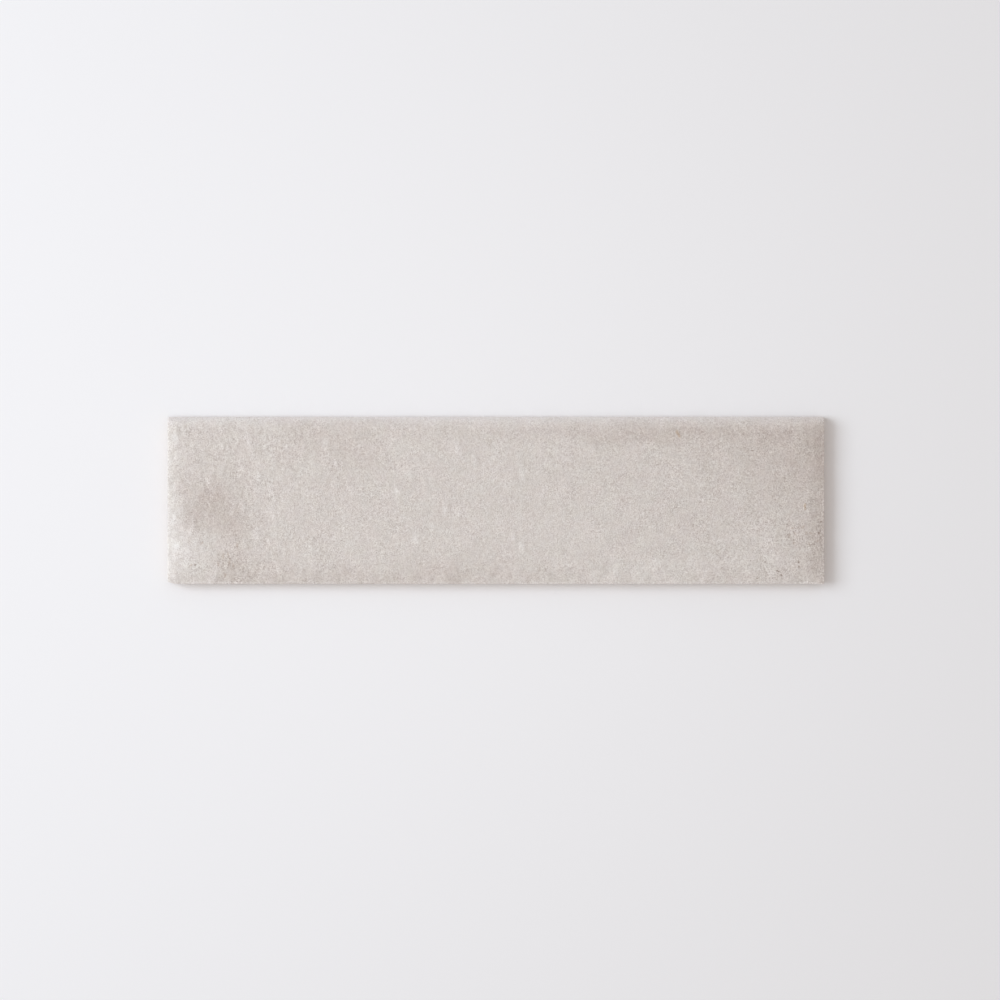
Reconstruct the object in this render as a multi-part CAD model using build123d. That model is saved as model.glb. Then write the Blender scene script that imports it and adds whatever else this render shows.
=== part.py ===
from build123d import *

import os

# Ceramic bullnose tile of the nominal 3 by 12 inch size: one pressed, glazed and fired piece.
# The face is up and the long side runs along X. The long edge at +Y rolls over into the bullnose.
# The other long edge and both ends are square, and there the face falls away in a cushion.
# Shallow keys in the back take the bedding mortar, and the tile rests on the ribs between them.
# The origin is at the middle of the back.

# Overall size, in millimetres
TILE_LENGTH = 298.0
TILE_WIDTH = 76.0
TILE_THICKNESS = 9.0

# The bullnose: a quarter round from the face down to a short upright land, and a small chamfer at its foot
NOSE_LAND = 3.0
NOSE_FOOT_CHAMFER = 0.3

# The square edges: how far the cushion reaches in, how far it falls, and the rounded arris below it
CUSHION_RUN = 10.0
CUSHION_DROP = 1.4
ARRIS_RADIUS = 0.4

# The back: a chamfer along the square edges, and a grid of tapered keys with ribs between them
BACK_CHAMFER = 0.8
BACK_RIM = 4.5
KEY_SIDE = 11.0
KEY_CORNER_CHAMFER = 1.2
KEY_DEPTH = 0.8
KEY_DRAFT = 30.0
RIB_WIDTH = 2.2

# Sizes that follow from those above
NOSE_RADIUS = TILE_THICKNESS - NOSE_LAND
ARRIS_HEIGHT = TILE_THICKNESS - CUSHION_DROP
KEY_PITCH = KEY_SIDE + RIB_WIDTH

# How close a corner lies to a height to count as being at it
AT_HEIGHT = 1e-4


def square_edge(edge, inward):
    """Draws a square edge from the back up to the flat of the face, and returns its wall and cushion."""
    wall = Polyline(
        (edge + inward * BACK_CHAMFER, 0),
        (edge, BACK_CHAMFER),
        (edge, ARRIS_HEIGHT),
    )
    crown = (edge + inward * CUSHION_RUN, TILE_THICKNESS)
    cushion = TangentArc(crown, wall @ 1, tangent=(-inward, 0))
    return wall, cushion


def round_arrises(section):
    """Rounds the corners where a cushion meets its wall."""
    corners = section.vertices().filter_by(lambda v: abs(v.Y - ARRIS_HEIGHT) < AT_HEIGHT)
    fillet(corners, ARRIS_RADIUS)


def cross_section():
    """Section across the width: a square edge at -Y and the bullnose at +Y."""
    tip = TILE_WIDTH / 2
    with BuildSketch(Plane.YZ) as section:
        with BuildLine():
            wall, cushion = square_edge(-TILE_WIDTH / 2, 1)
            flat = Line(cushion @ 0, (tip - NOSE_RADIUS, TILE_THICKNESS))
            nose = TangentArc(flat @ 1, (tip, NOSE_LAND), tangent=(1, 0))
            Polyline(nose @ 1, (tip, NOSE_FOOT_CHAMFER), (tip - NOSE_FOOT_CHAMFER, 0), wall @ 0)
        make_face()
        round_arrises(section)
    return section.sketch


def long_section():
    """Section along the length: a square edge at each end."""
    with BuildSketch(Plane.XZ) as section:
        with BuildLine():
            left_wall, left_cushion = square_edge(-TILE_LENGTH / 2, 1)
            right_wall, right_cushion = square_edge(TILE_LENGTH / 2, -1)
            Line(left_cushion @ 0, right_cushion @ 0)
            Line(left_wall @ 0, right_wall @ 0)
        make_face()
        round_arrises(section)
    return section.sketch


def keys_across(side):
    """How many keys fit across a side of the back, inside its rim."""
    return int((side - 2 * BACK_RIM + RIB_WIDTH) // KEY_PITCH)


def back_key():
    """One key, widest at the back so that it leaves the press."""
    square = Rectangle(KEY_SIDE, KEY_SIDE)
    outline = chamfer(square.vertices(), KEY_CORNER_CHAMFER)
    return extrude(outline, amount=KEY_DEPTH, taper=KEY_DRAFT)


def bullnose_tile():
    """The whole tile. The two sections cross, so that their edges meet in mitres at the corners."""
    along = extrude(cross_section(), amount=TILE_LENGTH / 2, both=True)
    across = extrude(long_section(), amount=TILE_WIDTH / 2, both=True)
    key = back_key()
    places = GridLocations(KEY_PITCH, KEY_PITCH, keys_across(TILE_LENGTH), keys_across(TILE_WIDTH))
    return (along & across) - [place * key for place in places]


os.makedirs("parts", exist_ok=True)
export_step(bullnose_tile(), "parts/bullnose_tile.step")
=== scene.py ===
import math

import bpy
import numpy as np
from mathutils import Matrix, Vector, noise


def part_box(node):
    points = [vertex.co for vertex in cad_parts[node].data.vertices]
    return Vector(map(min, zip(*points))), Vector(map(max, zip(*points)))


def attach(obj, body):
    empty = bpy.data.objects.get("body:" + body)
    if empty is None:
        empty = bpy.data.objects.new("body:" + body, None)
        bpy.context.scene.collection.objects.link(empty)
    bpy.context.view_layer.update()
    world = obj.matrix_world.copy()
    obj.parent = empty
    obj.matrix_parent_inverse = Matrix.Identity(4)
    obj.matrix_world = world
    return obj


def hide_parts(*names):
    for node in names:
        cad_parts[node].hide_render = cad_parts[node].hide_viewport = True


# A matte-glazed bullnose tile, lying face up on a pale floor and seen straight from above.
# Shapes are worked out in millimetres in the part's own frame and written in metres.
# The face is +Z, the length runs along X and the bullnose is the long edge at +Y.

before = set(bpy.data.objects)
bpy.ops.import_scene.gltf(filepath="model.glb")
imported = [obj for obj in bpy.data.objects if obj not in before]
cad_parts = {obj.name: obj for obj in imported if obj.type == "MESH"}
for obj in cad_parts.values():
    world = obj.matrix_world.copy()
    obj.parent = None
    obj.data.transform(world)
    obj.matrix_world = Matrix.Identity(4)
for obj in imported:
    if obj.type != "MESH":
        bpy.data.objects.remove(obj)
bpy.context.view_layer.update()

MM = 0.001
NODE = "bullnose_tile"
low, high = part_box(NODE)
LENGTH, WIDTH, THICKNESS = [side / MM for side in high - low]

# Sizes of the tile that the box doesn't give, as in the solid
NOSE_LAND = 3.0
NOSE_RADIUS = THICKNESS - NOSE_LAND
CUSHION_RUN = 10.0
CUSHION_DROP = 1.4
ARRIS_RADIUS = 0.4
NOSE_FOOT_CHAMFER = 0.3
BACK_CHAMFER = 0.8
BACK_RIM = 4.5
KEY_SIDE = 11.0
KEY_DEPTH = 0.8
KEY_DRAFT = math.radians(30)
RIB_WIDTH = 2.2
KEY_PITCH = KEY_SIDE + RIB_WIDTH

# How closely the face and the keys are sampled, and the angle from which a crease shows as a sharp edge
FACE_STEP = 0.62
ARRIS_STEPS = 4
NOSE_STEPS = 16
KEY_POINTS = 24
SHARP_ANGLE = math.radians(35)

# How square a key's outline is, the rounding at its mouth and floor, and how close to a line counts as on it
KEY_SQUARENESS = 8
KEY_LIP = 0.12
ON_LINE = 0.01

# How tightly two cushions keep their mitre at a corner: the higher the power, the sharper it is
MITRE_POWER = 5

# The glaze: how thick it stands on the body, and how far it runs down the walls
GLAZE_THICKNESS = 0.1
GLAZE_RUN = 1.1
GLAZE_RUN_SPREAD = 0.8
GLAZE_RUN_LEAST = 0.25
NOSE_GLAZE_RUN = 2.3
NOSE_GLAZE_RUN_SPREAD = 0.3
GLAZE_LIP = 0.08

# The ragged line where it ends: the width of its large and small waves, and the height of the small ones
WAVE_WIDTH = 5.0
SMALL_WAVE_WIDTH = 1.7
SMALL_WAVE_SHARE = 0.6

# The bare wall below it: its least height, its rings of points, how rough it is, and how uneven its foot is
BARE_LEAST = 0.3
WALL_RINGS = 5
WALL_ROUGH_DEPTH, WALL_ROUGH_WIDTH = 0.06, 3.5
WALL_ROUGH_SHIFT = (3, -2)
FOOT_SPREAD, FOOT_SPREAD_WIDTH = 0.2, 9.0

# The four sides in turn, from the square long edge: which way is inward, and the chamfer at the foot
INWARD = [(0, 1), (-1, 0), (0, -1), (1, 0)]
FOOT_CHAMFERS = [BACK_CHAMFER, BACK_CHAMFER, NOSE_FOOT_CHAMFER, BACK_CHAMFER]

# Relief of the face: depth and width of each kind of mark. Brush strokes show where the noise passes a limit,
# and weaken towards the right end. Lumps are lower at the right end and at the square long edge. Nearly all
# of the relief lies below the level of the face.
SWELL_DEPTH, SWELL_WIDTH = 0.10, 45.0
DIMPLE_DEPTH, DIMPLE_WIDTH = 0.10, 7.0
STROKE_DEPTH, STROKE_WIDTH, STROKE_LENGTH = 0.46, 2.2, 4.0
STROKE_TILT = math.radians(12)
STROKE_RAISED_FROM, STROKE_SUNK_FROM = 0.22, 0.30
STROKE_LEAST, STROKE_FALL = 0.32, 1.5
SAND_DEPTH, SAND_WIDTH = 0.05, 1.6
LUMP_DEPTH, LUMP_WIDTH, LUMP_REACH = 0.60, 4.0, 12.0
LUMP_SMALL_SHARE = 0.4
CUSHION_WANDER, CUSHION_WANDER_WIDTH = 1.4, 8.0
EDGE_WANDER, EDGE_WANDER_WIDTH = 0.08, 30.0
LEVEL_PERCENT = 99.5

# A nip at the corner of the left end and the square long edge: its depth and its length
NIP_DEPTH, NIP_LENGTH = 1.0, 5.0

# Raised dabs in the glaze that stand out: how far they rise, and each one's place, half length, half width,
# turn in degrees and strength
DAB_RISE = 0.45
DABS = [
    (-111.3, 27.0, 4.0, 1.25, 97, 1.0),
    (-123.6, 24.4, 1.5, 0.90, 102, 0.8),
    (-129.9, 7.8, 1.8, 0.95, 102, 0.9),
    (-100.6, -7.2, 2.4, 0.95, 112, 1.0),
    (-83.8, -21.6, 2.2, 1.05, 102, 0.9),
    (-76.8, 25.4, 2.8, 1.20, 97, 1.0),
    (-72.2, 16.0, 1.8, 0.95, 102, 0.7),
    (-44.5, 4.2, 2.0, 0.95, 110, 1.0),
    (-69.6, -4.6, 2.4, 0.90, 130, 0.7),
    (-39.0, 11.9, 2.6, 1.30, 115, 0.7),
    (-36.0, -18.5, 3.4, 1.50, 95, 0.7),
    (-22.7, -4.0, 2.4, 1.20, 100, 0.9),
    (-16.4, -5.8, 2.0, 1.00, 105, 0.9),
    (8.2, -17.2, 2.0, 0.95, 110, 1.0),
    (12.0, -20.8, 2.4, 1.10, 115, 1.0),
    (12.6, 11.4, 2.0, 0.90, 105, 0.8),
    (-28.5, -12.6, 2.2, 1.00, 102, 0.8),
    (-9.5, 18.7, 2.2, 0.95, 112, 1.0),
    (-17.3, 23.0, 2.6, 1.50, 110, 0.7),
    (-108.0, -15.5, 3.2, 1.30, 97, 0.9),
    (-113.6, -20.3, 2.2, 1.20, 95, 0.8),
    (-101.3, 4.2, 2.0, 1.05, 102, 0.8),
    (-107.2, 11.0, 2.0, 1.10, 98, 0.9),
    (-114.3, -3.8, 2.4, 1.25, 98, 0.8),
    (-119.3, -5.4, 2.0, 1.00, 95, 0.9),
    (-145.0, 27.8, 3.0, 1.60, 90, 1.0),
    (-145.6, -8.5, 2.4, 1.50, 90, 0.9),
    (-144.7, -21.1, 2.2, 1.50, 80, 1.0),
    (-138.0, -14.0, 2.2, 1.30, 60, 0.8),
]

# Tints in the glaze: how far their outlines wander and how wide those waves are, and each spot's place, reach
# along X and Y, and strength
TINT_WANDER, TINT_WANDER_WIDTH = 5.0, 16.0
STAINS_AND_SHADE = [
    (-130.0, -1.0, 14.0, 10.0, 0.60),
    (-133.5, -8.0, 1.6, 7.0, 0.22),
    (-137.5, -10.0, 1.5, 5.0, 0.20),
    (-126.0, 1.0, 1.8, 8.0, 0.20),
    (-121.5, -7.0, 1.6, 8.0, 0.20),
    (-121.0, -11.0, 9.0, 8.0, 0.48),
    (-130.0, 20.0, 14.0, 7.0, 0.16),
    (-116.0, 7.0, 7.0, 6.0, 0.18),
    (-117.5, -29.0, 8.5, 9.0, 0.56),
    (-124.0, -28.0, 1.4, 6.0, 0.24),
    (-119.0, -30.0, 1.4, 7.0, 0.24),
    (-115.0, -24.0, 1.5, 6.0, 0.20),
    (-100.0, -30.0, 12.0, 8.0, 0.18),
    (-103.0, -29.0, 6.0, 8.0, 0.12),
    (-92.0, 33.0, 14.0, 4.0, 0.16),
    (-80.0, 25.0, 20.0, 9.0, 0.30),
    (-62.0, 18.0, 16.0, 10.0, 0.16),
    (-60.0, -35.0, 55.0, 4.5, 0.25),
    (-22.0, -31.0, 16.0, 6.0, 0.30),
    (70.0, 31.0, 36.0, 5.0, 0.44),
    (0.0, 31.0, 140.0, 4.0, 0.13),
    (118.0, 26.0, 32.0, 11.0, 0.38),
    (134.0, 11.0, 20.0, 20.0, 0.22),
    (118.0, 7.0, 16.0, 5.0, 0.15),
    (125.0, 33.0, 16.0, 5.0, 0.25),
    (137.0, 14.0, 6.0, 14.0, 0.20),
    # These two spots along the right end are partly brown staining and partly painted shade on that end's
    # cushion, which faces away from the window.
    (147.0, 24.0, 9.0, 16.0, 0.40),
    (148.0, -8.0, 5.0, 34.0, 0.46),
    (138.0, -18.0, 10.0, 12.0, 0.30),
]
# Paler blooms in the glaze. The four spots at the left end are painted light: they make that end's cushion,
# which faces the window, paler.
BLOOMS_AND_LIT_END = [
    (-140.0, -24.0, 11.0, 13.0, 0.95),
    (-149.0, 0.0, 4.5, 45.0, 0.45),
    (-146.0, 22.0, 4.0, 14.0, 0.35),
    (-146.5, -14.0, 4.0, 12.0, 0.35),
    (-112.0, 30.0, 16.0, 5.0, 0.15),
    (30.0, -14.0, 32.0, 14.0, 0.25),
    (-6.0, 11.0, 28.0, 14.0, 0.14),
    (66.0, -34.0, 20.0, 5.0, 0.50),
    (88.0, -27.0, 18.0, 8.0, 0.22),
    (122.0, -22.0, 16.0, 11.0, 0.32),
]
PITTED = [
    (134.0, -16.0, 18.0, 12.0, 1.0),
    (146.0, -12.0, 6.0, 16.0, 0.9),
    (122.0, -32.0, 24.0, 8.0, 0.7),
    (-120.0, -30.0, 14.0, 8.0, 0.8),
    (-138.0, -30.0, 10.0, 8.0, 0.25),
]

# Small marks, by place, half length, half width and turn in degrees
RUST_MARKS = [
    (82.5, 30.1, 2.2, 0.70, -65),
    (140.0, -2.8, 1.8, 0.65, 92),
]
STREAKS = [
    (134.2, -12.7, 0.9, 0.45, 20),
    (133.0, -15.8, 0.9, 0.45, 70),
    (135.4, -15.0, 0.9, 0.50, 130),
    (139.0, -12.2, 1.0, 0.50, 40),
    (140.6, -15.0, 0.9, 0.50, 90),
    (142.7, -14.9, 0.8, 0.50, 0),
    (134.9, -19.4, 0.8, 0.45, 60),
    (141.9, -19.9, 0.8, 0.45, 100),
    (145.8, -18.6, 0.8, 0.45, 80),
    (-125.8, -29.0, 1.3, 0.55, 95),
    (-123.6, -25.3, 1.6, 0.55, 85),
    (-121.3, -24.4, 1.0, 0.50, 100),
    (-120.8, -28.5, 1.4, 0.55, 80),
    (-119.0, -29.4, 1.2, 0.55, 100),
    (-122.7, -34.0, 1.2, 0.60, 75),
    (-117.2, -20.3, 1.4, 0.50, 95),
    (-133.1, -19.4, 1.0, 0.50, 60),
    (-138.1, -29.4, 0.9, 0.50, 30),
]
# Pits: their dark tint is partly the body showing at their floor and partly painted shade inside each pit
PITS = [
    (147.4, -9.7, 0.60, 0.50, 0),
    (146.5, -15.0, 0.60, 0.40, 60),
    (137.4, -29.9, 0.60, 0.38, 0),
    (137.2, -28.1, 0.60, 0.45, 110),
    (118.4, -35.4, 0.50, 0.45, 0),
    (127.7, -32.1, 0.75, 0.34, 150),
    (129.5, -34.0, 0.60, 0.34, 150),
    (116.2, 22.4, 0.60, 0.30, 0),
    (-136.3, -29.2, 0.55, 0.40, 30),
    (-120.4, -26.6, 0.45, 0.38, 0),
]
PALE_SPECKS = [
    (53.6, -1.2, 0.55, 0.50, 0),
    (-44.5, 4.2, 0.70, 0.60, 60),
    (124.6, -6.0, 1.00, 0.80, 0),
    (108.0, -26.2, 1.60, 1.10, 20),
    (102.9, -23.6, 0.60, 0.55, 0),
    (-94.3, -34.1, 0.60, 0.55, 0),
    (-123.9, 24.4, 0.60, 0.60, 0),
]

# How far in from the tip the nose is paler and the power by which that fades. The paleness is partly a
# thinner, paler glaze over the nose and partly painted light, the brightness a rounded nose catches. Also how
# far in from an arris the glaze is worn thin. Both are gone below a foot height and come back over the height
# of their fade.
NOSE_PALE_REACH, NOSE_PALE_POWER = 9.0, 3
NOSE_PALE_FOOT, NOSE_PALE_FADE = 1.5, 3.0
RIM_REACH = 0.8
RIM_FOOT, RIM_FADE = 6.2, 0.6

# Grain of the glaze: the width of each kind, how far it changes the tone, and its height
GRAIN_WIDTH, GRAIN_TONE, GRAIN_HEIGHT = 0.59, 0.70, 0.22
SPECKLE_WIDTH, SPECKLE_TONE, SPECKLE_HEIGHT = 1.5, 0.25, 0.22
MOTTLE_WIDTH, MOTTLE_TONE = 6.0, 0.20

# It is stronger in some patches than in others, towards both ends and where the glaze is pitted, and weaker
# in blooms, in the painted light at the left end, and on the nose
PATCH_WIDTH, PATCH_SPREAD = 7.0, 0.32
PATCH_LOW, PATCH_HIGH = 0.25, 0.75
SANDY_ENDS, SANDY_PITTED, SANDY_BLOOM_AND_LIT_END = 0.25, 0.35, 0.40
NOSE_CALM = 0.35

# Pinholes: the width of their cells, the share of a cell that one fills, how many cells stay without one, how
# many fewer of those there are where the glaze is pitted, and their tone and depth. Their dark tone is partly
# the body at their floor and partly painted shade inside each hole.
PINHOLE_WIDTH, PINHOLE_INNER, PINHOLE_OUTER = 1.7, 0.10, 0.24
PINHOLE_LIMIT, PINHOLE_PITTED = 0.98, 0.45
PINHOLE_BODY_AND_SHADE_TONE, PINHOLE_DEPTH = -0.27, 0.06
PIT_DEPTH = 0.10

# Small marks are soft between these shares of their size, and their outlines wander
MARK_INNER, MARK_OUTER = 0.4, 1.3
MARK_WANDER, MARK_WAVES_PER_MM = 0.9, 0.9

# Soft changes of colour over the glaze: their widths, and the values of the noise between which they come in
BLUSH_WIDTH, COOL_WIDTH = 9.0, 3.2
SOFT_LOW, SOFT_HIGH = 0.35, 0.65

# How worn the rim is follows the speckle: the least share at its low value, and all of it at its high one
WORN_LOW, WORN_HIGH, WORN_LEAST = 0.3, 0.6, 0.6

# How rough the glaze is, at a low and at a high value of the mottling
MOTTLE_LOW, MOTTLE_HIGH = 0.3, 0.7
GLAZE_ROUGHNESS_LOW, GLAZE_ROUGHNESS_HIGH = 0.58, 0.68

# The fired body: the width, tone and height of its grain and of the press marks, which are drawn out upwards
BODY_MOTTLE_WIDTH, BODY_MOTTLE_TONE = 7.0, 0.16
BODY_GRAIN_WIDTH, BODY_GRAIN_TONE, BODY_GRAIN_HEIGHT = 0.7, 0.22, 0.10
PRESS_WIDTH, PRESS_TONE, PRESS_HEIGHT = 0.9, 0.12, 0.10
PRESS_SQUASH = 0.07
BODY_ROUGHNESS = 0.85

# Its pores and iron specks: the width of their cells, how many stay empty, and how much of a cell they fill
PORE_WIDTH, PORE_LIMIT, PORE_INNER, PORE_OUTER = 1.3, 0.55, 0.08, 0.26
PORE_TONE, PORE_DEPTH = -0.16, 0.08
SPECK_WIDTH, SPECK_LIMIT, SPECK_INNER, SPECK_OUTER = 3.1, 0.80, 0.03, 0.12

# Colours, and tints that multiply the colour of the glaze
GLAZE_COLOUR = (0.643, 0.5925, 0.5535)
# Darkens the stains, and paints shade on the right end's cushion
STAIN_AND_SHADE_TINT = (0.83, 0.787, 0.766)
# Lightens the blooms, and paints light on the left end's cushion
BLOOM_AND_LIT_END_TINT = (1.12, 1.145, 1.16)
# The nose's tint is partly a thinner, paler glaze and partly painted light on the rounded nose
NOSE_PALE_AND_LIT_TINT = (1.245, 1.29, 1.345)
RIM_TINT = (1.13, 1.15, 1.17)
RUST_TINT = (0.88, 0.79, 0.69)
# Pits are darkened partly for the body at their floor and partly with painted shade
PIT_BODY_AND_SHADE_TINT = (0.58, 0.52, 0.48)
STREAK_TINT = (0.83, 0.78, 0.75)
PALE_TINT = (1.12, 1.13, 1.13)
DAB_TINT = (1.12, 1.142, 1.158)
BLUSH_TINT = (1.010, 0.994, 1.003)
COOL_TINT = (0.993, 1.0, 1.012)
BODY_COLOUR = (0.62, 0.505, 0.405)
SPECK_COLOUR = (0.40, 0.28, 0.19)
FLOOR_COLOUR = (0.878, 0.874, 0.897)

# How strongly the grain changes red, green and blue: less in red, so that dark grain is a little warmer
GRAIN_TINT = (0.905, 1.025, 1.06)

# The picture, in pixels: its side, where the middle of the face lies, and how long the face is
PICTURE_SIDE = 1000
FACE_CENTRE_PIXEL = (495.9, 500.25)
FACE_LENGTH_PIXELS = 658.0

# How high above the face the camera is, in metres
CAMERA_HEIGHT = 1.2

# The floor: its side and how far below the tile it lies, in metres, and how rough it is
FLOOR_SIDE = 6.0
FLOOR_BELOW = 0.0001
FLOOR_ROUGHNESS = 0.9

# The light: a large, slightly cool window at the left, a weak lamp above the middle, and a warmer glow from
# all over the sky that leans a little towards -X and -Y. A lamp has a name, a place and a side in metres, a
# power in watts and a colour.
LAMPS = [
    ("window", (-1.243, 0.224, 1.179), 1.038, 17.40, (0.856, 0.938, 1.0)),
    ("near_lamp", (-0.030, 0.010, 0.300), 0.200, 0.0600, (1.0, 1.0, 1.0)),
]
GLOW_STRENGTH = 0.598
GLOW_COLOUR = (1.0, 0.945, 0.903)
GLOW_LEAN = (-0.09, -0.05, 0.0)
BACKGROUND = (0.86, 0.86, 0.875)

# Places of the two materials on the mesh
GLAZE, BODY = 0, 1

# Rows of the texture layout, from the bottom: how much of its height each takes, and the margin round each
WALL_ROW = 0.035
ROWS = {"face_left": 0.30, "face_right": 0.30, "back": 0.26}
ROWS.update({f"wall_{side}": WALL_ROW for side in range(4)})
ROW_MARGIN = 0.004

# Layers of the noise, one for each use of it, and how far apart they lie
SWELL_LAYER, DIMPLE_LAYER, STROKE_LAYER, SAND_LAYER, LUMP_LAYER = 1, 2, 3, 4, 11
CUSHION_LAYER, OUTLINE_LAYER = 5, 6
WAVE_LAYER, SMALL_WAVE_LAYER, FOOT_LAYER, WALL_LAYER = 7, 8, 9, 10
TINT_LAYER_X, TINT_LAYER_Y = 21, 22
LAYER_STEP = 17.3


def field(x, y, width, layer, stretch=1.0):
    """Smooth noise from about -1 to 1, with features of the given width, longer along y by the stretch."""
    points = zip((x / width).ravel(), (y / (width * stretch)).ravel())
    level = layer * LAYER_STEP
    values = [noise.noise((u, v, level)) for u, v in points]
    return np.array(values).reshape(x.shape)


def arc_drop(distance, run, drop):
    """Fall of an arc that is level at the run in from an edge, and has fallen by the drop at the edge."""
    radius = (run ** 2 + drop ** 2) / (2 * drop)
    left = np.clip(run - distance, 0, run)
    return radius - np.sqrt(radius ** 2 - left ** 2)


def soft_spots(x, y, spots):
    """Sum of soft round spots, each given by its place, its reach along X and Y, and its strength."""
    total = np.zeros_like(x)
    for place_x, place_y, reach_x, reach_y, strength in spots:
        square = ((x - place_x) / reach_x) ** 2 + ((y - place_y) / reach_y) ** 2
        total += strength * np.exp(-square)
    return np.clip(total, 0, 1)


def dabs_at(x, y):
    """How much of a raised dab there is at each point, from 0 to 1."""
    total = np.zeros_like(x)
    for place_x, place_y, half_length, half_width, turn, strength in DABS:
        cos, sin = math.cos(math.radians(turn)), math.sin(math.radians(turn))
        along = (x - place_x) * cos + (y - place_y) * sin
        across = (y - place_y) * cos - (x - place_x) * sin
        square = (along / half_length) ** 2 + (across / half_width) ** 2
        total = np.maximum(total, strength * np.exp(-square))
    return total


def face_lines():
    """Where the face is sampled along X and Y: close together round the arrises and the nose."""
    turns = np.linspace(0, math.pi / 2, ARRIS_STEPS + 1)
    arris = ARRIS_RADIUS * (1 - np.cos(turns[:-1]))
    cushion = np.linspace(ARRIS_RADIUS, CUSHION_RUN, round(CUSHION_RUN / FACE_STEP))
    edge = np.concatenate([arris, cushion])
    half = LENGTH / 2
    halves = round((half - CUSHION_RUN) / FACE_STEP)
    flat_x = np.linspace(-half + CUSHION_RUN, half - CUSHION_RUN, 2 * halves + 1)[1:-1]
    xs = np.concatenate([-half + edge, flat_x, half - edge[::-1]])
    tip = WIDTH / 2
    flat_count = round((WIDTH - CUSHION_RUN - NOSE_RADIUS) / FACE_STEP)
    flat_y = np.linspace(-tip + CUSHION_RUN, tip - NOSE_RADIUS, flat_count)[1:]
    nose_turns = np.linspace(0, math.pi / 2, NOSE_STEPS + 1)[1:]
    nose = tip - NOSE_RADIUS + NOSE_RADIUS * np.sin(nose_turns)
    ys = np.concatenate([-tip + edge, flat_y, nose])
    return xs, ys


def face_relief(x, y):
    """Unevenness of the glaze, never above zero."""
    along = x * math.cos(STROKE_TILT) + y * math.sin(STROKE_TILT)
    across = y * math.cos(STROKE_TILT) - x * math.sin(STROKE_TILT)
    height = SWELL_DEPTH * field(x, y, SWELL_WIDTH, SWELL_LAYER)
    height += DIMPLE_DEPTH * field(x, y, DIMPLE_WIDTH, DIMPLE_LAYER)
    strength = np.clip(0.5 - x / LENGTH, STROKE_LEAST, 1.0) ** STROKE_FALL
    strokes = field(along, across, STROKE_WIDTH, STROKE_LAYER, STROKE_LENGTH / STROKE_WIDTH)
    raised = np.clip(strokes - STROKE_RAISED_FROM, 0, None)
    sunk = np.clip(-strokes - STROKE_SUNK_FROM, 0, None)
    height += STROKE_DEPTH * strength * (raised - sunk)
    height += DAB_RISE * dabs_at(x, y)
    height += SAND_DEPTH * field(x, y, SAND_WIDTH, SAND_LAYER)
    height += LUMP_DEPTH * edge_share(x, y) * field(x, y, LUMP_WIDTH, LUMP_LAYER)
    return np.minimum(height - np.percentile(height, LEVEL_PERCENT), 0)


def edge_share(x, y):
    """How near a point is to the lumpy edges, from 0 to 1: most at the left end and least at the right."""
    left = np.clip(1 - (x + LENGTH / 2) / LUMP_REACH, 0, 1)
    right = LUMP_SMALL_SHARE * np.clip(1 - (LENGTH / 2 - x) / LUMP_REACH, 0, 1)
    back = LUMP_SMALL_SHARE * np.clip(1 - (y + WIDTH / 2) / LUMP_REACH, 0, 1)
    share = np.maximum(np.maximum(left, right), back)
    return share * (2 - share)


def face_points():
    """The face as a grid of points: flat, with cushions at three edges and the nose at the fourth."""
    xs, ys = face_lines()
    x, y = np.meshgrid(xs, ys, indexing="ij")
    end = LENGTH / 2 - np.abs(x)
    back_edge = y + WIDTH / 2
    tip = WIDTH / 2 - y
    wander = CUSHION_WANDER * field(x, y, CUSHION_WANDER_WIDTH, CUSHION_LAYER)
    end_drop = arc_drop(np.clip(end + wander, 0, None), CUSHION_RUN, CUSHION_DROP)
    edge_drop = arc_drop(np.clip(back_edge + wander, 0, None), CUSHION_RUN, CUSHION_DROP)
    nose_drop = arc_drop(tip, NOSE_RADIUS, NOSE_RADIUS)
    # A high power lets the deepest of the three win, and softens the mitres between them
    drop = sum(part ** MITRE_POWER for part in (end_drop, edge_drop, nose_drop)) ** (1 / MITRE_POWER)
    drop = np.minimum(drop, NOSE_RADIUS)
    drop += arc_drop(end, ARRIS_RADIUS, ARRIS_RADIUS) + arc_drop(back_edge, ARRIS_RADIUS, ARRIS_RADIUS)
    level = np.clip(tip / NOSE_RADIUS, 0, 1)
    z = THICKNESS - drop + face_relief(x, y) * level
    # The outline wanders a little, and the nipped corner is pulled in
    near_end = np.clip(1 - end / CUSHION_RUN, 0, 1)
    near_edge = np.clip(1 - back_edge / CUSHION_RUN, 0, 1)
    near_tip = np.clip(1 - tip / CUSHION_RUN, 0, 1)
    pull = EDGE_WANDER * (0.5 + 0.5 * field(x, y, EDGE_WANDER_WIDTH, OUTLINE_LAYER))
    nip = NIP_DEPTH * np.clip(1 - (x + LENGTH / 2) / NIP_LENGTH, 0, 1) ** 2
    return np.stack([
        x - np.sign(x) * pull * near_end,
        y + (pull + nip) * near_edge - pull * near_tip,
        z,
    ], axis=-1)


class TileMesh:
    """Gathers the points and faces of the tile, with each face's material and place in the texture layout."""

    def __init__(self):
        self.points = []
        self.faces = []
        self.materials = []
        self.layout = []

    def add_points(self, points):
        """Adds points and returns their numbers."""
        first = len(self.points)
        self.points.extend(points)
        return list(range(first, len(self.points)))

    def add_face(self, corners, material, layout):
        """Adds a face, with the place of each corner in the texture layout."""
        self.faces.append(corners)
        self.materials.append(material)
        self.layout.extend(layout)


def in_row(name, across, up):
    """Place in the texture layout of a point that lies that far across and up its row, from 0 to 1."""
    start = 0.0
    for row, height in ROWS.items():
        if row == name:
            break
        start += height
    u = ROW_MARGIN + across * (1 - 2 * ROW_MARGIN)
    v = start + ROW_MARGIN + up * (ROWS[name] - 2 * ROW_MARGIN)
    return u, v


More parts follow.
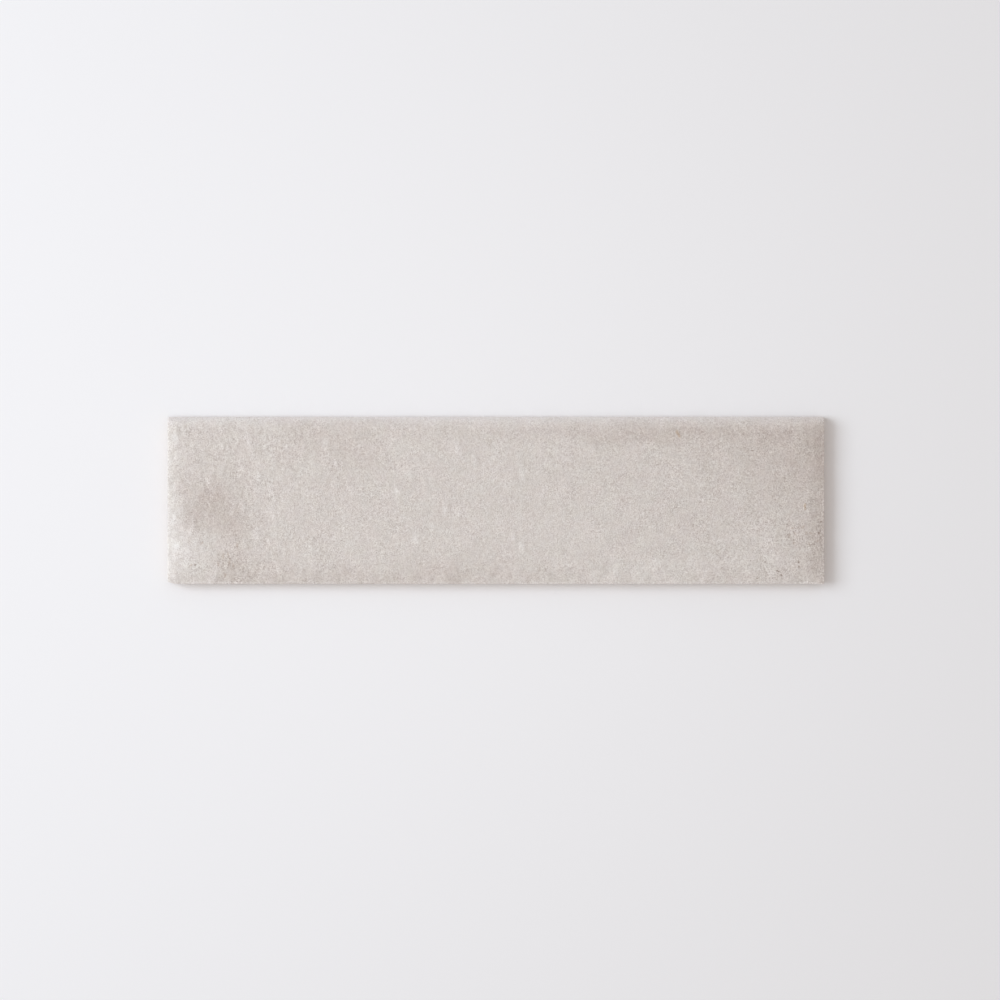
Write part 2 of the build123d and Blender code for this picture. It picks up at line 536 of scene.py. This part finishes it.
def build_face(mesh):
    """Adds the face and returns the numbers of the points round it, from the corner at -X and -Y."""
    points = face_points()
    count_x, count_y = points.shape[:2]
    numbers = np.array(mesh.add_points(points.reshape(-1, 3).tolist())).reshape(count_x, count_y)
    middle = count_x // 2
    steps = np.linalg.norm(np.diff(points[middle], axis=0), axis=1)
    up = np.concatenate([[0], np.cumsum(steps)]) / steps.sum()
    across = (points[:, count_y // 2, 0] + LENGTH / 2) / LENGTH
    for i in range(count_x - 1):
        row = "face_left" if i < middle else "face_right"
        shift = 0 if i < middle else 1
        for j in range(count_y - 1):
            around = [(i, j), (i + 1, j), (i + 1, j + 1), (i, j + 1)]
            corners = [int(numbers[a, b]) for a, b in around]
            places = [in_row(row, 2 * across[a] - shift, up[b]) for a, b in around]
            mesh.add_face(corners, GLAZE, places)
    sides = [numbers[:-1, 0], numbers[-1, :-1], numbers[:0:-1, -1], numbers[0, :0:-1]]
    return [[int(n) for n in side] for side in sides]


def inset_ring(top, starts, inset, chamfer_share):
    """The loop of points moved in from all four sides, and fitted between its own corners along each side."""
    ring = top.copy()
    depth = [inset + chamfer_share * chamfer for chamfer in FOOT_CHAMFERS]
    for side in range(4):
        along, across = side % 2, 1 - side % 2
        before, after = side - 1, (side + 1) % 4
        corner, next_corner = starts[side], starts[side + 1] % len(top)
        here = slice(starts[side], starts[side + 1])
        share = (top[here, along] - top[corner, along]) / (top[next_corner, along] - top[corner, along])
        ring[here, across] += INWARD[side][across] * depth[side][here]
        ring[here, along] += (1 - share) * INWARD[before][along] * depth[before][corner]
        ring[here, along] += share * INWARD[after][along] * depth[after][next_corner]
    return ring


def wall_rings(top, chamfer, nose):
    """Rings down the walls from the edge of the glaze: heights, insets and the share of the foot chamfer."""
    x, y = top[:, 0], top[:, 1]
    waves = field(x, y, WAVE_WIDTH, WAVE_LAYER)
    ragged = waves + SMALL_WAVE_SHARE * field(x, y, SMALL_WAVE_WIDTH, SMALL_WAVE_LAYER)
    run = np.clip(GLAZE_RUN + GLAZE_RUN_SPREAD * ragged, GLAZE_RUN_LEAST, None)
    run[nose] = NOSE_GLAZE_RUN + NOSE_GLAZE_RUN_SPREAD * ragged[nose]
    line = np.maximum(top[:, 2] - run, chamfer + BARE_LEAST)
    lip = line - GLAZE_LIP
    foot = chamfer * (1 + FOOT_SPREAD * field(x, y, FOOT_SPREAD_WIDTH, FOOT_LAYER))
    under_glaze = np.full_like(line, GLAZE_THICKNESS)
    rings = [(line, np.zeros_like(line), 0), (lip, under_glaze, 0)]
    for ring in range(1, WALL_RINGS + 1):
        share = ring / WALL_RINGS
        moved_x, moved_y = x + WALL_ROUGH_SHIFT[0] * ring, y + WALL_ROUGH_SHIFT[1] * ring
        rough = 0.5 + 0.5 * field(moved_x, moved_y, WALL_ROUGH_WIDTH, WALL_LAYER + ring)
        rings.append((lip * (1 - share) + foot * share, under_glaze + WALL_ROUGH_DEPTH * rough, 0))
    rings.append((np.zeros_like(line), under_glaze, 1))
    return rings


def build_walls(mesh, sides):
    """Adds the walls below the face ring by ring, and returns the lowest ring side by side."""
    loop = [n for side in sides for n in side]
    lengths = [len(side) for side in sides]
    starts = np.cumsum([0] + lengths)
    top = np.array([mesh.points[n] for n in loop])
    rings = wall_rings(top, np.repeat(FOOT_CHAMFERS, lengths), slice(starts[2], starts[3]))
    upper = loop
    for index, (heights, inset, chamfer_share) in enumerate(rings):
        points = inset_ring(top, starts, inset, chamfer_share)
        points[:, 2] = heights
        lower = mesh.add_points(points.tolist())
        material = GLAZE if index == 0 else BODY
        top_v, low_v = 1 - index / len(rings), 1 - (index + 1) / len(rings)
        for side, length in enumerate(lengths):
            for place in range(length):
                here = starts[side] + place
                after = (here + 1) % len(loop)
                corners = [upper[here], lower[here], lower[after], upper[after]]
                left, right = place / length, (place + 1) / length
                around = [(left, top_v), (left, low_v), (right, low_v), (right, top_v)]
                mesh.add_face(corners, material, [in_row(f"wall_{side}", u, v) for u, v in around])
        upper = lower
    return [upper[starts[side]:starts[side + 1]] for side in range(4)]


def back_place(mesh, numbers):
    """Places in the texture layout of points on the back."""
    places = []
    for n in numbers:
        x, y, _ = mesh.points[n]
        places.append(in_row("back", x / LENGTH + 0.5, y / WIDTH + 0.5))
    return places


def key_outlines():
    """The outline of a key's cell, and those of the key from its mouth to its floor, each with its depth."""
    # The points start at the corner at -X and -Y
    turns = np.linspace(0, 2 * math.pi, KEY_POINTS, endpoint=False) - 0.75 * math.pi
    circle = np.stack([np.cos(turns), np.sin(turns)], axis=-1).round(9)
    # The higher the squareness, the closer the circle comes to a square with rounded corners
    half = KEY_SIDE / 2
    key = np.sign(circle) * np.abs(circle) ** (2 / KEY_SQUARENESS) * half
    cell = key / np.abs(key).max(axis=1, keepdims=True) * KEY_PITCH / 2
    taper = KEY_DEPTH * math.tan(KEY_DRAFT)
    outlines = [
        (key * (1 + KEY_LIP / half), 0),
        (key * (1 - KEY_LIP / half), KEY_LIP),
        (key * (1 - taper / half), KEY_DEPTH - KEY_LIP),
        (key * (1 - (taper + 2 * KEY_LIP) / half), KEY_DEPTH),
    ]
    return cell, outlines


def keys_across(side):
    """How many keys fit across a side of the back, inside its rim."""
    return int((side - 2 * BACK_RIM + RIB_WIDTH) // KEY_PITCH)


def build_keys(mesh, columns, rows):
    """Adds a cell for each key, with half a rib round it, and returns the points on the cells' borders."""
    cell, outlines = key_outlines()
    border = {}
    for column in range(columns):
        for row in range(rows):
            middle = np.array([column - (columns - 1) / 2, row - (rows - 1) / 2]) * KEY_PITCH
            outer = []
            for x, y in (cell + middle).tolist():
                # Cells that meet share the points between them
                label = (round(x, 3), round(y, 3))
                if label not in border:
                    border[label] = mesh.add_points([(x, y, 0.0)])[0]
                outer.append(border[label])
            for outline, depth in outlines:
                inner = mesh.add_points([(x, y, depth) for x, y in (outline + middle).tolist()])
                for k in range(KEY_POINTS):
                    after = (k + 1) % KEY_POINTS
                    corners = [outer[k], inner[k], inner[after], outer[after]]
                    mesh.add_face(corners, BODY, back_place(mesh, corners))
                outer = inner
            hub = mesh.add_points([(middle[0], middle[1], KEY_DEPTH)])[0]
            for k in range(KEY_POINTS):
                corners = [outer[k], hub, outer[(k + 1) % KEY_POINTS]]
                mesh.add_face(corners, BODY, back_place(mesh, corners))
    return border


def border_sides(border, columns, rows):
    """The points round the outside of all the cells, side by side and from the same corner as the walls."""
    reach = (columns * KEY_PITCH / 2, rows * KEY_PITCH / 2)
    sides = []
    for axis, sign, forward in ((1, -1, 1), (0, 1, 1), (1, 1, -1), (0, -1, -1)):
        on_side = [place for place in border if abs(place[axis] - sign * reach[axis]) < ON_LINE]
        on_side.sort(key=lambda place: forward * place[1 - axis])
        sides.append([border[place] for place in on_side])
    return sides


def shares_along(mesh, numbers, axis):
    """How far along a side each of its points lies, from 0 to 1."""
    places = np.array([mesh.points[n][axis] for n in numbers])
    return (places - places[0]) / (places[-1] - places[0])


def build_rim(mesh, wall_sides, key_sides):
    """Joins the foot of the walls to the outside of the cells with triangles, in step along each side."""
    for side in range(4):
        outer = wall_sides[side] + [wall_sides[(side + 1) % 4][0]]
        inner = key_sides[side]
        outer_shares = shares_along(mesh, outer, side % 2)
        inner_shares = shares_along(mesh, inner, side % 2)
        a = b = 0
        while a < len(outer) - 1 or b < len(inner) - 1:
            take_outer = b == len(inner) - 1
            if a < len(outer) - 1 and not take_outer:
                take_outer = outer_shares[a + 1] <= inner_shares[b + 1]
            if take_outer:
                corners = [outer[a + 1], outer[a], inner[b]]
                a += 1
            else:
                corners = [inner[b], inner[b + 1], outer[a]]
                b += 1
            mesh.add_face(corners, BODY, back_place(mesh, corners))


def build_back(mesh, wall_sides):
    """Adds the back: a grid of keys, and the rim that joins them to the walls."""
    columns, rows = keys_across(LENGTH), keys_across(WIDTH)
    border = build_keys(mesh, columns, rows)
    build_rim(mesh, wall_sides, border_sides(border, columns, rows))


def paint_layers(data, points):
    """Writes to each point of the tile how much it has of each tint, and how sandy its grain is."""
    x, y, z = points.T
    warp_x = x + TINT_WANDER * field(x, y, TINT_WANDER_WIDTH, TINT_LAYER_X)
    warp_y = y + TINT_WANDER * field(x, y, TINT_WANDER_WIDTH, TINT_LAYER_Y)
    bloom_and_lit_end = soft_spots(warp_x, warp_y, BLOOMS_AND_LIT_END)
    pitted = soft_spots(warp_x, warp_y, PITTED)
    edge = np.minimum(LENGTH / 2 - np.abs(x), y + WIDTH / 2)
    worn = np.clip((z - RIM_FOOT) / RIM_FADE, 0, 1)
    upper = np.clip((z - NOSE_PALE_FOOT) / NOSE_PALE_FADE, 0, 1)
    near_tip = np.clip(1 - (WIDTH / 2 - y) / NOSE_PALE_REACH, 0, 1)
    near_end = np.abs(2 * x / LENGTH)
    layers = {
        # Stains, and painted shade at the right end
        "stain_and_shade": soft_spots(warp_x, warp_y, STAINS_AND_SHADE),
        # Paler blooms, and painted light on the left end
        "bloom_and_lit_end": bloom_and_lit_end,
        "pitted": pitted,
        "rim": worn * np.exp(-(edge / RIM_REACH) ** 2),
        "dab": dabs_at(x, y),
        # Paler nose: partly thinner glaze, partly painted light
        "nose": upper * near_tip ** NOSE_PALE_POWER,
        "sandy": 1.0 + SANDY_ENDS * near_end + SANDY_PITTED * pitted - SANDY_BLOOM_AND_LIT_END * bloom_and_lit_end,
    }
    for name, values in layers.items():
        layer = data.attributes.new(name, "FLOAT", "POINT")
        layer.data.foreach_set("value", np.asarray(values, np.float32))


def make_tile():
    """The whole tile as one closed mesh."""
    mesh = TileMesh()
    sides = build_face(mesh)
    build_back(mesh, build_walls(mesh, sides))
    points = np.array(mesh.points)
    data = bpy.data.meshes.new("glazed_tile")
    data.from_pydata((points * MM).tolist(), [], mesh.faces)
    data.polygons.foreach_set("material_index", mesh.materials)
    data.polygons.foreach_set("use_smooth", [True] * len(mesh.faces))
    layout = data.uv_layers.new(name="OFBake")
    layout.data.foreach_set("uv", np.array(mesh.layout, np.float32).ravel())
    paint_layers(data, points)
    data.update()
    data.validate()
    data.set_sharp_from_angle(angle=SHARP_ANGLE)
    tile = bpy.data.objects.new("glazed_tile", data)
    bpy.context.scene.collection.objects.link(tile)
    return tile


class Nodes:
    """Adds nodes to a tree, with short calls for the kinds used here. Each call returns an output socket."""

    def __init__(self, owner):
        owner.use_nodes = True
        self.tree = owner.node_tree
        self.tree.nodes.clear()

    def node(self, kind, inputs, **settings):
        """Adds a node, links or sets its inputs, and returns it."""
        node = self.tree.nodes.new(kind)
        for name, value in settings.items():
            setattr(node, name, value)
        for key, value in inputs.items():
            if isinstance(value, bpy.types.NodeSocket):
                self.tree.links.new(value, node.inputs[key])
            else:
                node.inputs[key].default_value = value
        return node

    def add(self, kind, inputs, output=0, **settings):
        """Adds a node and returns one of its outputs."""
        return self.node(kind, inputs, **settings).outputs[output]

    def place(self):
        """The point on the surface, in millimetres."""
        metres = self.add("ShaderNodeTexCoord", {}, "Object")
        return self.add("ShaderNodeVectorMath", {0: metres, "Scale": 1 / MM}, operation="SCALE")

    def noise(self, place, width, detail):
        """Noise from 0 to 1 with features of about the given width in millimetres."""
        inputs = {"Vector": place, "Scale": 1 / width, "Detail": detail}
        return self.add("ShaderNodeTexNoise", inputs, "Fac")

    def sum(self, value, times, plus):
        """The value times one number, plus another."""
        return self.add("ShaderNodeMath", {0: value, 1: times, 2: plus}, operation="MULTIPLY_ADD")

    def times(self, a, b):
        """One value times another."""
        return self.add("ShaderNodeMath", {0: a, 1: b}, operation="MULTIPLY")

    def ramp(self, value, start, end, first=0.0, last=1.0):
        """Goes smoothly from the first value to the last as its input goes from start to end."""
        inputs = {"Value": value, "From Min": start, "From Max": end, "To Min": first, "To Max": last}
        return self.add("ShaderNodeMapRange", inputs, interpolation_type="SMOOTHSTEP")

    def layer(self, name):
        """A value that was written to the points of the mesh."""
        return self.add("ShaderNodeAttribute", {}, "Fac", attribute_name=name)

    def mix(self, share, first, last, blend="MIX"):
        """The first colour, with the given share of the last one blended in."""
        inputs = {0: share, 6: first, 7: last}
        return self.add("ShaderNodeMix", inputs, 2, data_type="RGBA", blend_type=blend)

    def scaled(self, colour, value):
        """A colour made lighter or darker by a value."""
        return self.add("ShaderNodeVectorMath", {0: colour, "Scale": value}, operation="SCALE")

    def cells(self, place, width, output):
        """Cells of about the given width: the distance from a cell's middle, or the colour that it drew."""
        inputs = {"Vector": place, "Scale": 1 / width}
        return self.add("ShaderNodeTexVoronoi", inputs, output)

    def scatter(self, place, width, limit, inner, outer):
        """Dots in cells of about the given width, in the share of cells that draw more than the limit."""
        drawn = self.add("ShaderNodeSeparateColor", {"Color": self.cells(place, width, "Color")}, "Red")
        picked = self.add("ShaderNodeMath", {0: drawn, 1: limit}, operation="GREATER_THAN")
        dot = self.ramp(self.cells(place, width, "Distance"), inner, outer, 1.0, 0.0)
        return self.times(picked, dot)

    def marks(self, place, marks):
        """Soft ovals, each given by its place, half length, half width and turn: 1 inside them, 0 outside."""
        total = 0.0
        for x, y, half_length, half_width, turn in marks:
            offset = self.add("ShaderNodeVectorMath", {0: place, 1: (x, y, 0)}, operation="SUBTRACT")
            inputs = {"Vector": offset, "Angle": -math.radians(turn)}
            turned = self.add("ShaderNodeVectorRotate", inputs, rotation_type="Z_AXIS")
            inputs = {0: turned, 1: (1 / half_length, 1 / half_width, 0)}
            scaled = self.add("ShaderNodeVectorMath", inputs, operation="MULTIPLY")
            reach = self.add("ShaderNodeVectorMath", {0: scaled}, "Value", operation="LENGTH")
            oval = self.ramp(reach, MARK_INNER, MARK_OUTER, 1.0, 0.0)
            total = self.add("ShaderNodeMath", {0: oval, 1: total}, operation="MAXIMUM")
        return total

    def bump(self, height):
        """A normal from a height in millimetres."""
        return self.add("ShaderNodeBump", {"Height": height, "Distance": MM, "Strength": 1.0})

    def surface(self, **inputs):
        """The finished surface of a material, from its named inputs."""
        named = {name.replace("_", " "): value for name, value in inputs.items()}
        shader = self.add("ShaderNodeBsdfPrincipled", named)
        self.node("ShaderNodeOutputMaterial", {"Surface": shader})


def colour(rgb):
    """A colour with full cover."""
    return (*rgb, 1.0)


def ragged_place(n, place):
    """The place, moved a little this way and that, so that marks get ragged outlines."""
    inputs = {"Vector": place, "Scale": MARK_WAVES_PER_MM, "Detail": 1.0}
    wander = n.add("ShaderNodeTexNoise", inputs, "Color")
    inputs = {0: wander, 1: (MARK_WANDER,) * 3, 2: place}
    moved = n.add("ShaderNodeVectorMath", inputs, operation="MULTIPLY_ADD")
    inputs = {0: moved, 1: (MARK_WANDER / 2,) * 3}
    return n.add("ShaderNodeVectorMath", inputs, operation="SUBTRACT")


def make_glaze():
    """Sandy matte glaze: warm grey with grain, mottling, brown stains, pale blooms and small dark pits, with
    painted light on the nose and the left end, and painted shade at the right end and in the pits.
    """
    material = bpy.data.materials.new("sandy_glaze")
    n = Nodes(material)
    place = n.place()
    grain = n.noise(place, GRAIN_WIDTH, detail=1.0)
    speckle = n.noise(place, SPECKLE_WIDTH, detail=1.0)
    mottle = n.noise(place, MOTTLE_WIDTH, detail=3.0)
    nose = n.layer("nose")
    # Colour: soft tints first, then the small marks
    worn = n.times(n.layer("rim"), n.ramp(speckle, WORN_LOW, WORN_HIGH, WORN_LEAST, 1.0))
    blush = n.ramp(n.noise(place, BLUSH_WIDTH, detail=2.0), SOFT_LOW, SOFT_HIGH)
    cool = n.ramp(n.noise(place, COOL_WIDTH, detail=2.0), SOFT_LOW, SOFT_HIGH)
    ragged = ragged_place(n, place)
    pits = n.marks(ragged, PITS)
    tints = [
        (n.layer("stain_and_shade"), STAIN_AND_SHADE_TINT),
        # Blooms, and painted light at the left end
        (n.layer("bloom_and_lit_end"), BLOOM_AND_LIT_END_TINT),
        (nose, NOSE_PALE_AND_LIT_TINT),
        (worn, RIM_TINT),
        (n.layer("dab"), DAB_TINT),
        (blush, BLUSH_TINT),
        (cool, COOL_TINT),
        (n.marks(ragged, RUST_MARKS), RUST_TINT),
        (n.marks(ragged, STREAKS), STREAK_TINT),
        (pits, PIT_BODY_AND_SHADE_TINT),
        (n.marks(ragged, PALE_SPECKS), PALE_TINT),
    ]
    tinted = colour(GLAZE_COLOUR)
    for share, tint in tints:
        tinted = n.mix(share, tinted, colour(tint), "MULTIPLY")
    # Tone: mottling and grain make the glaze lighter and darker
    patch = n.noise(place, PATCH_WIDTH, detail=1.0)
    patches = n.ramp(patch, PATCH_LOW, PATCH_HIGH, 1 - PATCH_SPREAD, 1 + PATCH_SPREAD)
    strength = n.times(n.times(n.sum(nose, -NOSE_CALM, 1.0), n.layer("sandy")), patches)
    tone = n.sum(mottle, MOTTLE_TONE, 1 - 0.5 * MOTTLE_TONE)
    tone = n.sum(n.times(strength, n.sum(speckle, 1.0, -0.5)), SPECKLE_TONE, tone)
    tone = n.sum(n.times(strength, n.sum(grain, 1.0, -0.5)), GRAIN_TONE, tone)
    # Pinholes: a dark dot in some of the cells, and in more of them where the glaze is pitted; the dark is
    # partly body and partly painted shade in the hole
    limit = n.sum(n.layer("pitted"), -PINHOLE_PITTED, PINHOLE_LIMIT)
    pinhole = n.scatter(place, PINHOLE_WIDTH, limit, PINHOLE_INNER, PINHOLE_OUTER)
    tone = n.sum(pinhole, PINHOLE_BODY_AND_SHADE_TONE, tone)
    # Light and dark tones shift each colour by its own strength
    inputs = {0: n.sum(tone, 1.0, -1.0), 1: GRAIN_TINT, 2: (1.0, 1.0, 1.0)}
    shade = n.add("ShaderNodeVectorMath", inputs, operation="MULTIPLY_ADD")
    shaded = n.mix(1.0, tinted, shade, "MULTIPLY")
    height = n.sum(grain, GRAIN_HEIGHT, n.times(speckle, SPECKLE_HEIGHT))
    height = n.sum(pinhole, -PINHOLE_DEPTH, height)
    height = n.sum(pits, -PIT_DEPTH, height)
    roughness = n.ramp(mottle, MOTTLE_LOW, MOTTLE_HIGH, GLAZE_ROUGHNESS_LOW, GLAZE_ROUGHNESS_HIGH)
    n.surface(Base_Color=shaded, Roughness=roughness, Normal=n.bump(height))
    return material


def make_body():
    """Bare fired clay: pale buff with grain, pores, iron specks and upright marks from the press."""
    material = bpy.data.materials.new("fired_body")
    n = Nodes(material)
    place = n.place()
    mottle = n.noise(place, BODY_MOTTLE_WIDTH, detail=4.0)
    grain = n.noise(place, BODY_GRAIN_WIDTH, detail=2.0)
    drawn_out = n.add("ShaderNodeVectorMath", {0: place, 1: (1.0, 1.0, PRESS_SQUASH)}, operation="MULTIPLY")
    press = n.noise(drawn_out, PRESS_WIDTH, detail=2.0)
    pore = n.scatter(place, PORE_WIDTH, PORE_LIMIT, PORE_INNER, PORE_OUTER)
    speck = n.scatter(place, SPECK_WIDTH, SPECK_LIMIT, SPECK_INNER, SPECK_OUTER)
    tone = 1 - 0.5 * (BODY_MOTTLE_TONE + BODY_GRAIN_TONE + PRESS_TONE)
    changes = [(mottle, BODY_MOTTLE_TONE), (grain, BODY_GRAIN_TONE), (press, PRESS_TONE), (pore, PORE_TONE)]
    for value, strength in changes:
        tone = n.sum(value, strength, tone)
    tinted = n.mix(speck, colour(BODY_COLOUR), colour(SPECK_COLOUR))
    height = n.sum(press, PRESS_HEIGHT, n.times(pore, -PORE_DEPTH))
    height = n.sum(grain, BODY_GRAIN_HEIGHT, height)
    n.surface(Base_Color=n.scaled(tinted, tone), Roughness=BODY_ROUGHNESS, Normal=n.bump(height))
    return material


def make_floor():
    """A plain pale floor, which takes the tile's shadow."""
    bpy.ops.mesh.primitive_plane_add(size=FLOOR_SIDE, location=(0, 0, -FLOOR_BELOW))
    floor = bpy.context.object
    floor.name = "floor"
    material = bpy.data.materials.new("floor_paper")
    n = Nodes(material)
    n.surface(Base_Color=colour(FLOOR_COLOUR), Roughness=FLOOR_ROUGHNESS, Specular_IOR_Level=0.0)
    floor.data.materials.append(material)


def make_lamp(name, place, side, watts, tint):
    """A soft square lamp that faces the tile."""
    data = bpy.data.lights.new(name, "AREA")
    data.size = side
    data.energy = watts
    data.color = tint
    lamp = bpy.data.objects.new(name, data)
    lamp.location = place
    lamp.rotation_euler = (-Vector(place)).to_track_quat("-Z", "Y").to_euler()
    lamp.visible_camera = False
    bpy.context.scene.collection.objects.link(lamp)


def make_world():
    """A broad glow, with a plain pale background where the camera sees past the floor."""
    world = bpy.data.worlds.new("studio")
    bpy.context.scene.world = world
    n = Nodes(world)
    direction = n.add("ShaderNodeTexCoord", {}, "Generated")
    lean = n.add("ShaderNodeVectorMath", {0: direction, 1: GLOW_LEAN}, "Value", operation="DOT_PRODUCT")
    glow = n.sum(lean, GLOW_STRENGTH, GLOW_STRENGTH)
    seen = 0.0
    for kind in ("Is Camera Ray", "Is Glossy Ray", "Is Transmission Ray"):
        ray = n.add("ShaderNodeLightPath", {}, kind)
        seen = n.add("ShaderNodeMath", {0: ray, 1: seen}, operation="MAXIMUM")
    light = n.add("ShaderNodeBackground", {"Color": colour(GLOW_COLOUR), "Strength": glow})
    plain = n.add("ShaderNodeBackground", {"Color": colour(BACKGROUND), "Strength": 1.0})
    both = n.add("ShaderNodeMixShader", {0: seen, 1: light, 2: plain})
    n.node("ShaderNodeOutputWorld", {"Surface": both})


def make_camera():
    """Looks straight down, with the face at its place and size in the picture."""
    pixel = LENGTH * MM / FACE_LENGTH_PIXELS
    data = bpy.data.cameras.new("camera")
    data.lens = data.sensor_width * CAMERA_HEIGHT / (PICTURE_SIDE * pixel)
    camera = bpy.data.objects.new("camera", data)
    off_x = (PICTURE_SIDE / 2 - FACE_CENTRE_PIXEL[0]) * pixel
    off_y = (FACE_CENTRE_PIXEL[1] - PICTURE_SIDE / 2) * pixel
    camera.location = (off_x, off_y, CAMERA_HEIGHT + THICKNESS * MM)
    bpy.context.scene.collection.objects.link(camera)
    bpy.context.scene.camera = camera


tile = make_tile()
tile.data.materials.append(make_glaze())
tile.data.materials.append(make_body())
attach(tile, "root")
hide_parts(NODE)

make_floor()
for lamp in LAMPS:
    make_lamp(*lamp)
make_world()
make_camera()
bpy.context.scene.view_settings.view_transform = "Standard"
